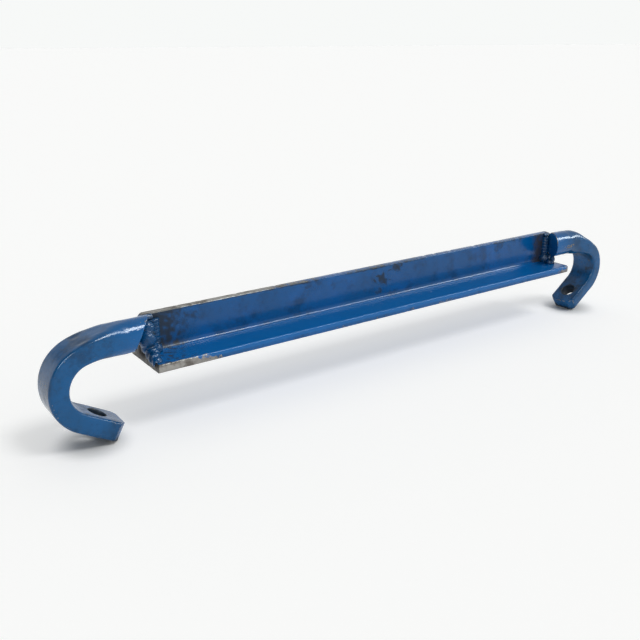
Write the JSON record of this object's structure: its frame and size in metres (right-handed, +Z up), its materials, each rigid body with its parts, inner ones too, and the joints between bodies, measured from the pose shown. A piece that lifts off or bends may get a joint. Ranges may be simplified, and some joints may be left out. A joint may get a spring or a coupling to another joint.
{
  "type": "spreader beam",
  "caption": "Spreader beam: a length of steel tee with a forged bar hook welded into each end, turned down and back under the beam, with a hole through each straight tip.",
  "frame": {"origin": "on the floor that the hook tips stand on, midway between the two hooks' outermost points and midway across the tee's flat leg", "axes": "+X along the beam towards the right-hand hook, +Y towards the back of the upright leg, +Z up"},
  "size_m": [0.8114, 0.07, 0.1198],
  "materials": {
    "beam_paint": "gloss blue paint, scuffed to bare steel along the edges and ends",
    "hook_paint": "gloss blue paint over a forged surface, worn at the tips",
    "weld_paint": "blue paint over rough weld metal, sooty and rusted in places"
  },
  "bodies": {
    "root": {"tee_bar": "beam_paint", "left_hook": "hook_paint", "right_hook": "hook_paint", "left_upper_weld": "weld_paint", "left_side_weld": "weld_paint", "left_lower_weld": "weld_paint", "right_upper_weld": "weld_paint", "right_side_weld": "weld_paint", "right_lower_weld": "weld_paint"}
  },
  "joints": []
}
